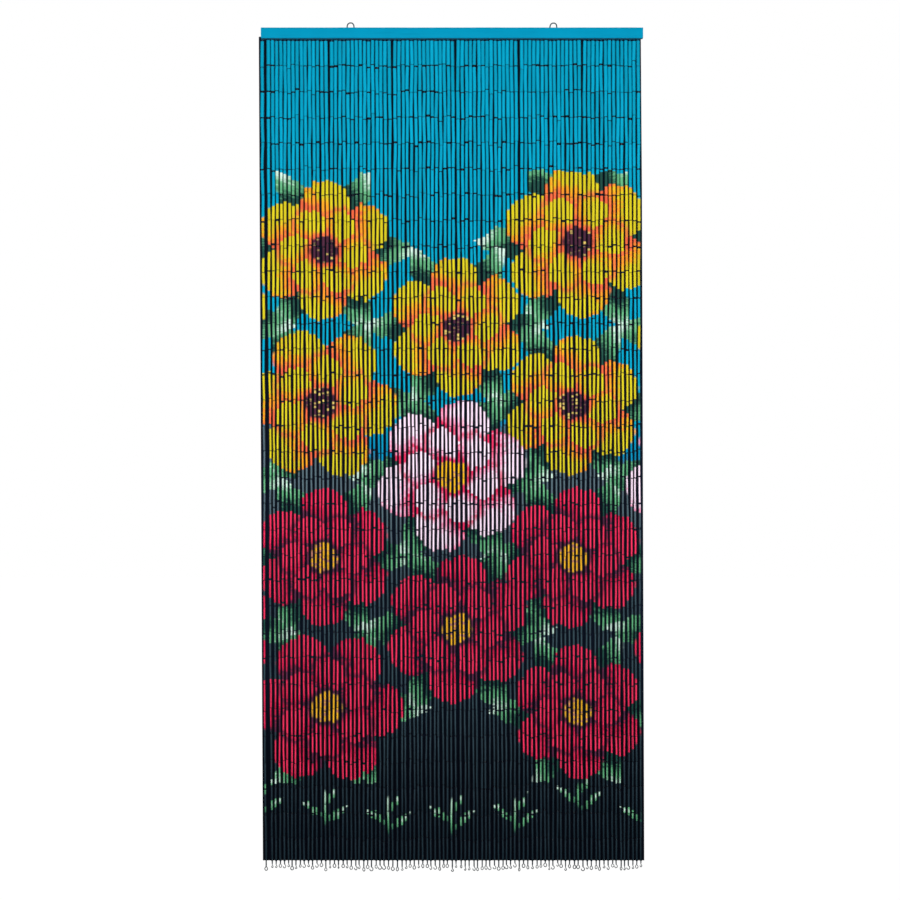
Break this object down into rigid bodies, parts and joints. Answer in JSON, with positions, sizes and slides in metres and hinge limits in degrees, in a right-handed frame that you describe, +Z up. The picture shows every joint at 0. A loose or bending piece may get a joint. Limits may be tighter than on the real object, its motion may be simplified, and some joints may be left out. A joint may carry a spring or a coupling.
{
  "type": "bead curtain",
  "caption": "Door curtain of painted cane beads on wire strands, hung under a painted wooden bar with two wire hanging loops.",
  "frame": {"origin": "midway between the two hanging loops, at the inside of their tops, where the hooks carry them", "axes": "+Z up, +X to the viewer's right, the painted front faces -Y"},
  "size_m": [0.9011, 0.02, 2.0004],
  "materials": {
    "bar_paint": "turquoise paint, satin",
    "loop_wire": "bent wire, splashed with the bar's paint",
    "bead_paint": "cane beads, painted front over a dark ground"
  },
  "bodies": {
    "root": {"bar": "bar_paint", "loop_left": "loop_wire", "loop_right": "loop_wire", "strands_1": "bead_paint", "strands_2": "bead_paint", "strands_3": "bead_paint", "strands_4": "bead_paint", "strands_5": "bead_paint", "strands_6": "bead_paint"}
  },
  "joints": []
}
